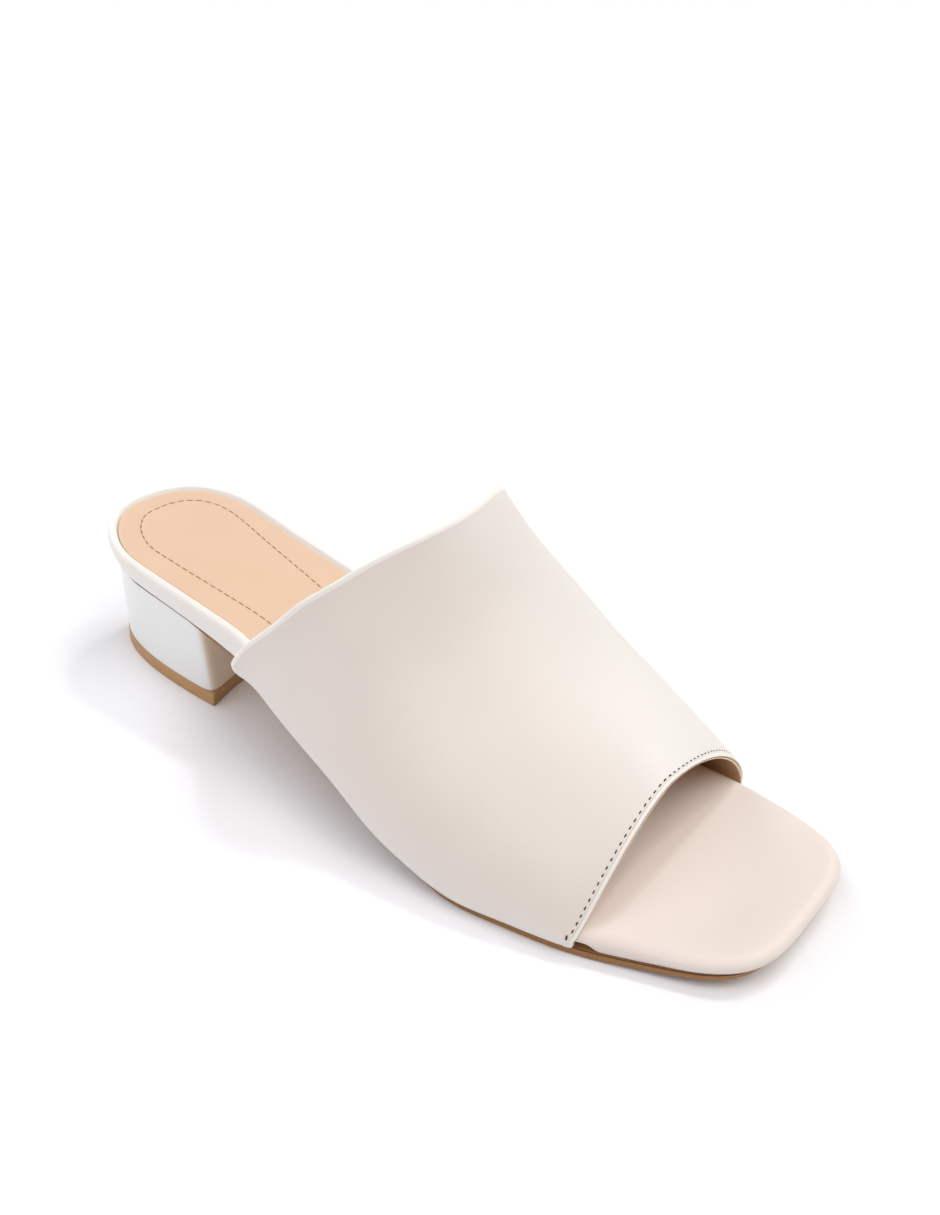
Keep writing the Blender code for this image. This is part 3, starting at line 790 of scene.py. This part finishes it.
sock = {
    "insetLateral": 3.5,         # its edge to the footbed's
    "insetMedial": 4.2,
    "end": 146.0,                # under the band
    "thickness": 1.0,
    "lift": 0.1,                 # glue under it
    "curlOut": 0.65,             # the raw edge leans out and up against the rim
    "curlUp": 0.35,
    "curlBetween": (3.0, 25.0),  # stations over which that grows
    "stitchLateral": ((0, 10.2), (30, 11.2), (76, 12.6), (146, 15.0)),     # station, inset
    "stitchMedial": ((0, 10.2), (25, 10.6), (40, 11.9), (55, 13.7), (76, 16.5), (146, 24.0)),
    "stitchEnd": 140.0,
    "stitchSink": 0.12,
    "rungs": 20,
    "eased": 10,                 # outline points over which one side turns into the other
}


def sockTop(station):
    return seatHeight(station) + sock["lift"] + sock["thickness"]


def sockCurl(station, side):    # the raw edge stands up against the rim on the outer side
    start, end = sock["curlBetween"]
    return ease((station - start) / (end - start)) * (side < 0)


def bySide(lateral, medial):    # one value for each point of the outline, eased round the heel
    value = np.where(np.arange(len(outline)) <= sideCount, lateral, medial)
    reach = 3 * sock["eased"]
    weight = np.exp(-0.5 * (np.arange(-reach, reach + 1) / sock["eased"]) ** 2)
    wrapped = np.concatenate((value[-reach:], value, value[:reach]))
    return np.convolve(wrapped, weight / weight.sum(), "valid")


def sockStitchInset():          # the stitched contour leaves the edge as it runs forward
    return bySide(*[np.interp(outline[:, 0], *zip(*sock[name]))
                    for name in ("stitchLateral", "stitchMedial")])


def makeSock():
    edge, line = bySide(sock["insetLateral"], sock["insetMedial"]), sockStitchInset()
    outer = np.arange(len(outline)) <= sideCount
    out = np.where(outer, sock["curlOut"] * sockCurl(outline[:, 0], -1), 0)
    rings = [(edge + 0.4, lambda s: seatHeight(s) + sock["lift"]),
             (edge + 0.05 - out, lambda s: seatHeight(s) + sock["lift"] + 0.1)]
    for inset, drop, up in ((0.0, 0.3, 1.0), (0.16, 0.1, 1.0), (0.45, 0.0, 0.9), (1.2, -0.1, 0.45),
                            (3.0, -0.18, 0.0)):
        rings.append((edge + inset - out * up, lambda s, d=drop: sockTop(s) - d,
                      lambda s, side, u=up: sock["curlUp"] * u * sockCurl(s, side)))
    for offset, drop in ((-1.2, -0.12), (-0.6, -0.04), (-0.25, 0.1), (0.0, 0.16), (0.25, 0.1),
                         (0.6, -0.04), (1.2, -0.14), (2.4, -0.2)):
        rings.append((line + offset, lambda s, d=drop: sockTop(s) - d))
    rungs = sock["rungs"]

    def pick(place, profile):   # the raw edge is brown, and dark as painted shadow of the gap against the rim
        medialEdge = (place >= 2 * profile + rungs - 4) & (place < 2 * profile + rungs - 1)
        return ((place < 2) | medialEdge).astype(int)

    piece = soleSheet("sock_lining", rings, lambda s: sockTop(s) + 0.2, rungs,
                      [peachSock, sockEdgeAndShadow], pick, sock["end"])
    install(piece, "insole_sock")


makeSock()
print("sock made")

outsole = {
    "columns": ("station", "inset", "thickness"),
    "rows": ((0, 0.8, 0.8), (55, 0.8, 0.8), (64, 0.7, 1.35), (80, 0.7, 1.4), (96, 3.0, 1.6),
             (138, 3.0, 2.3), (168, 0.5, 2.44), (205, 0.0, 2.44), (222, 0.0, 2.1), (240, 0.2, 1.8),
             (247, 0.8, 1.7), (251, 2.4, 1.7)),
    "soft": 2.5,
    "start": 55.0,           # its rear end, over the heel
    "step": (79.0, 83.0),    # here its top steps down under the band's turned-under edge
    "joint": 0.06,
    "bevel": 0.3,
    "topEdgeBevel": 0.2,
    "lines": 261,
    "rungs": 16,
}


def closedInset(ring, distance):     # a closed outline moved in along its own normals
    ahead = np.roll(ring, -1, axis=0) - np.roll(ring, 1, axis=0)
    inward = unit(np.stack((-ahead[:, 1], ahead[:, 0]), axis=1))
    return ring + inward * distance


def stack(name, rings, materials, faceMaterial=None, attributes=None):   # closed rings, capped
    count = len(rings[0])
    ends = [ring.mean(axis=0) for ring in (rings[0], rings[-1])]
    points = np.concatenate(rings + [np.array(ends)])
    faces = gridFaces(len(rings), count, wrapColumns=True).tolist()
    for first, centre in ((0, len(rings) * count), ((len(rings) - 1) * count, len(rings) * count + 1)):
        faces += [[first + k, first + (k + 1) % count, centre] for k in range(count)]
    if faceMaterial is not None:
        faceMaterial = np.append(np.repeat(faceMaterial, count), np.zeros(2 * count, int))
    return newPiece(name, points, faces, materials, faceMaterial, attributes)


def atHeight(ring, height):
    lifted = height(ring[:, 0]) if callable(height) else np.full(len(ring), float(height))
    return np.column_stack((ring, lifted))


def soleSheetTop(station):      # against the board behind the band, below the band's edge further on
    start, end = outsole["step"]
    lowered = np.clip((station - start) / (end - start), 0, 1)
    return soleLine(station) + rebateAt(station) * (1 - lowered) - outsole["joint"]


def makeSoleSheet():            # rungs from side to side, so that its faces follow the sole's curve
    turn = np.linspace(0, math.pi / 2, 2400)
    reach = outsole["start"] + (last["length"] - outsole["start"]) * np.sin(turn)
    sides = []
    for side in (-1, 1):
        line = resample(np.stack((reach, edgeAcross(reach, side)), axis=1), outsole["lines"])
        step = np.gradient(line, axis=0)
        sides.append((line, unit(np.stack((side * step[:, 1], -side * step[:, 0]), axis=1))))
    share = np.linspace(0, 1, outsole["rungs"] + 1)[1:-1]
    bevel, topEdge = outsole["bevel"], outsole["topEdgeBevel"]
    profile = ((bevel, True, 0.0), (0.0, True, bevel), (0.0, False, topEdge), (topEdge, False, 0.0))
    loops = []
    for k in range(outsole["lines"]):
        rows = []
        for extra, atBottom, off in profile:
            ends = []
            for line, inward in sides:
                at = line[k] + inward[k] * (extra + read(outsole, "inset", line[k, 0]))
                top = float(soleSheetTop(at[0]))
                bottom = top - read(outsole, "thickness", at[0])
                ends.append(np.array((*at, bottom + off if atBottom else top - off)))
            rows.append(ends)
        loop = [row[0] for row in rows]
        loop += [rows[-1][0] + (rows[-1][1] - rows[-1][0]) * s for s in share]
        loop += [row[1] for row in rows[::-1]]
        loop += [rows[0][1] + (rows[0][0] - rows[0][1]) * s for s in share]
        loops.append(loop)
    loops = np.array(loops)
    rows, columns = loops.shape[:2]
    faces = gridFaces(rows, columns, wrapColumns=True).tolist()
    faces.append(list(range(columns)))
    around = np.tile(np.arange(columns), rows - 1)
    # painted shadow: the top bevel's faces take a dark line for the gap under the footbed's edge
    paintedShadowFaces = (around == len(profile) - 2) | (around == len(profile) + len(share))
    piece = newPiece("outsole_sheet", loops.reshape(-1, 3), faces, [soleRubber, paintedShadowLine],
                     np.append(paintedShadowFaces, False))
    sharpen(piece, 30)
    install(piece, "outsole")


makeSoleSheet()
print("outsole made")

heel = {
    "breast": 60.4,          # station of its front face's sides
    "breastRake": -0.5,      # the top's front against the bottom's
    "hollow": 4.0,           # depth of the front face's hollow
    "back": 3.4,
    "halfWidth": 23.8,
    "squareness": 2.74,
    "corner": 3.4,           # how far the cover's front corners are rounded
    "liftCorner": 0.45,      # and the top piece's
    "topInset": 1.1,
    "topPiece": 4.65,
    "joint": 0.05,
    "coverRound": 0.5,
    "grooveBack": 0.35,      # height of the dark joint under the rim, painted as shade under its overhang
    "grooveBreast": 1.0,
    "paintedBounceTurn": 0.45,      # painted warm bounce light from the sole on the front face starts here, as a sine, and is full at twice that
    "count": 480,
}


def easeRing(ring, reach):      # a closed outline with its corners rounded
    ring = resample(np.vstack((ring, ring[:1])), heel["count"] + 1)[:-1]
    step = np.linalg.norm(ring[1] - ring[0])
    shift = np.arange(-int(4 * reach / step) - 1, int(4 * reach / step) + 2)
    weight = np.exp(-0.5 * (shift * step / reach) ** 2)
    weight /= weight.sum()
    return sum(w * np.roll(ring, k, axis=0) for w, k in zip(weight, shift))


def heelOutline(corner):        # D-shaped with a hollow breast, as a closed ring
    length = heel["breast"] - heel["back"]
    stations = heel["breast"] - length * np.cos(np.linspace(0, math.pi / 2, 1200))
    half = heel["halfWidth"] * superellipse((heel["breast"] - stations) / length, heel["squareness"])
    lateral = np.stack((stations, -half), axis=1)
    across = np.linspace(-1, 1, 400)[1:-1]
    breast = np.stack((heel["breast"] - heel["hollow"] * (1 - across**2), across * half[-1]), axis=1)
    return easeRing(np.concatenate((lateral, breast, (lateral * (1, -1))[::-1][:-1])), corner)


def heelTopOutline(floorRing):  # the same points under the rim, drawn in from its outline
    tuck = last["rows"][0][last["columns"].index("tuck")]
    share = (heel["breast"] - floorRing[:, 0]) / (heel["breast"] - heel["back"])
    top = heel["breast"] + heel["breastRake"]
    station = top - share * (top - tuck)
    half = np.abs(floorRing[:, 1]) / np.maximum(
        heel["halfWidth"] * superellipse(share, heel["squareness"]), 1e-3)
    side = np.sign(floorRing[:, 1])
    wide = np.abs(edgeAcross(np.maximum(station - tuck, 0.0), side)) - heel["topInset"]
    return np.stack((station, side * np.maximum(wide, 0) * np.clip(half, 0, 1)), axis=1)


def makeHeel():
    floorRing = heelOutline(heel["corner"])
    topRing = heelTopOutline(floorRing)
    base = heel["topPiece"] + heel["joint"]
    rings = []
    small = heel["coverRound"]
    for degrees in (0, 30, 60, 90):
        a = math.radians(degrees)
        rings.append(atHeight(closedInset(floorRing, small * (1 - math.sin(a))),
                              base + small * (1 - math.cos(a))))
    under = soleLine(topRing[:, 0]) - heel["joint"]
    toBreast = np.clip(topRing[:, 0] / heel["breast"], 0, 1)
    groove = heel["grooveBack"] + (heel["grooveBreast"] - heel["grooveBack"]) * toBreast
    for share in np.linspace(0.06, 1, 18):
        flat = floorRing + (topRing - floorRing) * share
        rings.append(np.column_stack((flat, base + small + (under - groove - base - small) * share)))
    sides = len(rings)
    for inward, below in ((0.05, 0.98), (0.05, 0.03), (0.3, 0.0)):
        flat = closedInset(topRing, inward)
        rings.append(np.column_stack((flat, under - groove * below)))
    # the groove rings under the rim take the board edge, dark as painted shade
    seam = (np.arange(len(rings) - 1) >= sides - 1).astype(int)
    # painted bounce light: where the cover faces the toe it takes the warm tint
    step = np.roll(floorRing, -1, axis=0) - np.roll(floorRing, 1, axis=0)
    paintedBounceShare = np.clip(unit(step)[:, 1] / heel["paintedBounceTurn"] - 1, 0, 1)
    breast = np.append(np.tile(paintedBounceShare, len(rings)), (0, 0))
    cover = stack("heel_cover", rings, [heelLeather, boardEdgeInShade], seam, {"breast": breast})
    sharpen(cover, 40)
    install(cover, "heel_block")

    ring = heelOutline(heel["liftCorner"])
    rings = []
    for inset, height in ((0.35, 0.0), (0.08, 0.12), (0.0, 0.4), (0.0, heel["topPiece"] - 0.4),
                          (0.12, heel["topPiece"] - 0.12), (0.35, heel["topPiece"])):
        rings.append(atHeight(closedInset(ring, inset), height))
    piece = stack("heel_lift", rings, [topPieceRubber])
    sharpen(piece, 35)
    install(piece, "heel_top_piece")


makeHeel()
print("heel made")


def stitchTree():               # thread or needle marks along a path that carries its own up vector
    tree = bpy.data.node_groups.new("stitch row", "GeometryNodeTree")
    face = tree.interface
    face.new_socket("Path", in_out="INPUT", socket_type="NodeSocketGeometry")
    for label, kind, value in (("Pitch", "NodeSocketFloat", 2.6 * mm), ("Shift", "NodeSocketFloat", 0.0),
                               ("Lift", "NodeSocketFloat", 0.0), ("Size", "NodeSocketVector", (1, 1, 1)),
                               ("Wander", "NodeSocketFloat", 0.06), ("Seed", "NodeSocketInt", 3)):
        socket = face.new_socket(label, in_out="INPUT", socket_type=kind)
        socket.default_value = value
    face.new_socket("Material", in_out="INPUT", socket_type="NodeSocketMaterial")
    face.new_socket("Row", in_out="OUTPUT", socket_type="NodeSocketGeometry")
    given = addNode(tree, "NodeGroupInput").outputs
    curve = addNode(tree, "GeometryNodeMeshToCurve", {"Mesh": given["Path"]})
    points = addNode(tree, "GeometryNodeCurveToPoints", {
        "Curve": curve.outputs["Curve"], "Length": given["Pitch"]}, mode="LENGTH")
    up = addNode(tree, "GeometryNodeInputNamedAttribute", {"Name": "up"}, data_type="FLOAT_VECTOR")
    upward = up.outputs["Attribute"]
    along = addNode(tree, "ShaderNodeVectorMath", {
        0: points.outputs["Tangent"], "Scale": given["Shift"]}, operation="SCALE")
    raised = addNode(tree, "ShaderNodeVectorMath", {
        0: upward, "Scale": given["Lift"]}, operation="SCALE")
    offset = addNode(tree, "ShaderNodeVectorMath", {
        0: along.outputs["Vector"], 1: raised.outputs["Vector"]}, operation="ADD")
    placed = addNode(tree, "GeometryNodeSetPosition", {
        "Geometry": points.outputs["Points"], "Offset": offset.outputs["Vector"]})
    lengthwise = addNode(tree, "FunctionNodeAlignRotationToVector", {
        "Vector": points.outputs["Tangent"]}, axis="X")
    upright = addNode(tree, "FunctionNodeAlignRotationToVector", {
        "Rotation": lengthwise.outputs["Rotation"], "Vector": upward}, axis="Z", pivot_axis="X")
    wander = addNode(tree, "FunctionNodeRandomValue", {"Seed": given["Seed"]}, data_type="FLOAT_VECTOR")
    low = addNode(tree, "ShaderNodeMath", {0: 0.0, 1: given["Wander"]}, operation="SUBTRACT")
    tree.links.new(low.outputs["Value"], wander.inputs["Min"])
    tree.links.new(given["Wander"], wander.inputs["Max"])
    turned = addNode(tree, "FunctionNodeRotateRotation", {
        "Rotation": upright.outputs["Rotation"]}, rotation_space="LOCAL")
    tilt = addNode(tree, "FunctionNodeEulerToRotation", {"Euler": wander.outputs["Value"]})
    tree.links.new(tilt.outputs["Rotation"], turned.inputs["Rotate By"])
    ball = addNode(tree, "GeometryNodeMeshUVSphere", {"Segments": 10, "Rings": 6, "Radius": 0.5})
    smooth = addNode(tree, "GeometryNodeSetShadeSmooth", {"Geometry": ball.outputs["Mesh"]})
    turnedBall = addNode(tree, "GeometryNodeTransform", {
        "Geometry": smooth.outputs["Geometry"], "Rotation": (0.0, math.pi / 2, 0.0)})
    instances = addNode(tree, "GeometryNodeInstanceOnPoints", {
        "Points": placed.outputs["Geometry"], "Instance": turnedBall.outputs["Geometry"],
        "Rotation": turned.outputs["Rotation"], "Scale": given["Size"]})
    real = addNode(tree, "GeometryNodeRealizeInstances", {"Geometry": instances.outputs["Instances"]})
    dressed = addNode(tree, "GeometryNodeSetMaterial", {
        "Geometry": real.outputs["Geometry"], "Material": given["Material"]})
    addNode(tree, "NodeGroupOutput", {"Row": dressed.outputs["Geometry"]})
    return tree


stitching = stitchTree()


def sewRow(name, points, ups, inputs):
    mesh = bpy.data.meshes.new(name + "_path")
    mesh.from_pydata(toRow(points).tolist(), [(k, k + 1) for k in range(len(points) - 1)], [])
    layer = mesh.attributes.new("up", "FLOAT_VECTOR", "POINT")
    layer.data.foreach_set("vector", np.asarray(ups, np.float32).ravel())
    path = bpy.data.objects.new(name + "_path", mesh)
    bpy.context.scene.collection.objects.link(path)
    modifier = path.modifiers.new("stitches", "NODES")
    modifier.node_group = stitching
    identifiers = {item.name: item.identifier for item in stitching.interface.items_tree
                   if item.item_type == "SOCKET" and item.in_out == "INPUT"}
    for label, value in inputs.items():
        modifier[identifiers[label]] = value
    evaluated = path.evaluated_get(bpy.context.evaluated_depsgraph_get())
    row = bpy.data.objects.new(name, bpy.data.meshes.new_from_object(evaluated))
    bpy.context.scene.collection.objects.link(row)
    bpy.data.objects.remove(path, do_unlink=True)
    install(row, None)


def sewFront():
    path = resample(stitchPath, len(stitchPath))
    keep = path[:, 2] > soleLine(path[:, 0]) + band["stitchFoot"]
    path, ups = path[keep], stitchUp[keep]
    sewRow("front_stitches", path, ups, {
        "Pitch": 2.3 * mm, "Shift": 0.0, "Lift": -0.02 * mm, "Size": (1.6 * mm, 0.5 * mm, 0.42 * mm),
        "Wander": 0.05, "Seed": 5, "Material": ivoryThread})
    sewRow("front_needle_marks", path, ups, {
        "Pitch": 2.3 * mm, "Shift": 1.15 * mm, "Lift": -0.15 * mm,
        "Size": (2.1 * mm, 0.66 * mm, 0.5 * mm), "Wander": 0.08, "Seed": 6,
        "Material": needleShadow})


def sewSock():
    sides = insetSides(sockStitchInset())
    lateral, medial = [cutLine(line, sock["stitchEnd"]) for line in sides]
    path = resample(np.concatenate((lateral[::-1], medial[1:])), 500)
    points = np.column_stack((path, sockTop(path[:, 0]) - sock["stitchSink"]))
    ups = np.tile((0.0, 0.0, 1.0), (len(points), 1))
    sewRow("sock_stitches", points, ups, {
        "Pitch": 3.1 * mm, "Shift": 0.0, "Lift": 0.0, "Size": (2.5 * mm, 0.42 * mm, 0.34 * mm),
        "Wander": 0.04, "Seed": 8, "Material": brownThread})


sewFront()
sewSock()
print("stitches made")

studio = {
    "floor": "#F5F6FA",
    "sky": 0.0,
    "lights": (              # name; azimuth, height and spread in degrees; power; tint
        ("strip over the toe", 96, 60, 7, 0.43, "#FFFFFF"),
        ("far window, high", 76, 56, 7, 0.34, "#FFFEFA"),
        ("front right bank, high", 5, 58, 45, 1.1, "#FFFCF8"),
        ("toe bank, low", 12, 25, 30, 0.12, "#FFFCF8"),
        ("back left bank, low", 170, 25, 45, 1.15, "#FFFEFA"),
        ("right bank, high", 38, 58, 45, 0.4, "#FFFEFA"),
        ("back right, low", 80, 25, 45, 0.6, "#FFFDF2"),
        ("near window", 284, 40, 10, 0.5, "#FFFBF4"),
        ("near left, high", 245, 58, 45, 0.76, "#FBF9FF"),
        ("left window, low", 222, 25, 45, 0.38, "#F2F5FF"),
    ),
    "camera": {              # its place in the shoe's millimetres, its turns in degrees
        "at": (320.64, -255.62, 255.44), "heading": 125.204, "down": 31.9, "roll": 4.104,
        "lens": 39.349, "sensor": 36.0,
    },
}


def makeStudio():
    bpy.ops.mesh.primitive_plane_add(size=30.0, location=(0.0, 0.0, 0.0))
    floor = bpy.context.object
    floor.name = "studio_floor"
    floor.data.materials.append(plainSurface("white paper sweep", studio["floor"], 0.9))
    scene = bpy.context.scene
    world = bpy.data.worlds.new("studio")
    world.use_nodes = True
    setInputs(world.node_tree, world.node_tree.nodes["Background"], {
        "Color": (1.0, 1.0, 1.0, 1.0), "Strength": studio["sky"]})
    scene.world = world
    scene.view_settings.view_transform = "Standard"
    for name, azimuth, height, spread, power, tint in studio["lights"]:
        data = bpy.data.lights.new(name, "SUN")
        data.angle = math.radians(spread)
        data.energy = power
        data.color = colour(tint)[:3]
        lamp = bpy.data.objects.new(name, data)
        azimuth, height = math.radians(azimuth), math.radians(height)
        source = Vector((math.cos(azimuth) * math.cos(height), math.sin(azimuth) * math.cos(height),
                         math.sin(height)))
        lamp.location = source
        lamp.rotation_euler = (-source).to_track_quat("-Z", "Y").to_euler()
        scene.collection.objects.link(lamp)


def makeCamera():
    spec = studio["camera"]
    heading, down, roll = [math.radians(spec[key]) for key in ("heading", "down", "roll")]
    forward = Vector((math.cos(heading) * math.cos(down), math.sin(heading) * math.cos(down),
                      -math.sin(down)))
    level = Vector((math.sin(heading), -math.cos(heading), 0.0))
    upward = level.cross(forward)
    right = level * math.cos(roll) + upward * math.sin(roll)
    top = upward * math.cos(roll) - level * math.sin(roll)
    data = bpy.data.cameras.new("camera")
    data.sensor_fit = "VERTICAL"
    data.sensor_height = spec["sensor"]
    data.lens = spec["lens"]
    data.clip_start = 0.01
    camera = bpy.data.objects.new("camera", data)
    camera.matrix_world = Matrix.Translation(toRow(spec["at"])) @ Matrix(
        (right, top, -forward)).transposed().to_4x4()
    bpy.context.scene.collection.objects.link(camera)
    bpy.context.scene.camera = camera


makeStudio()
makeCamera()
print("studio made")
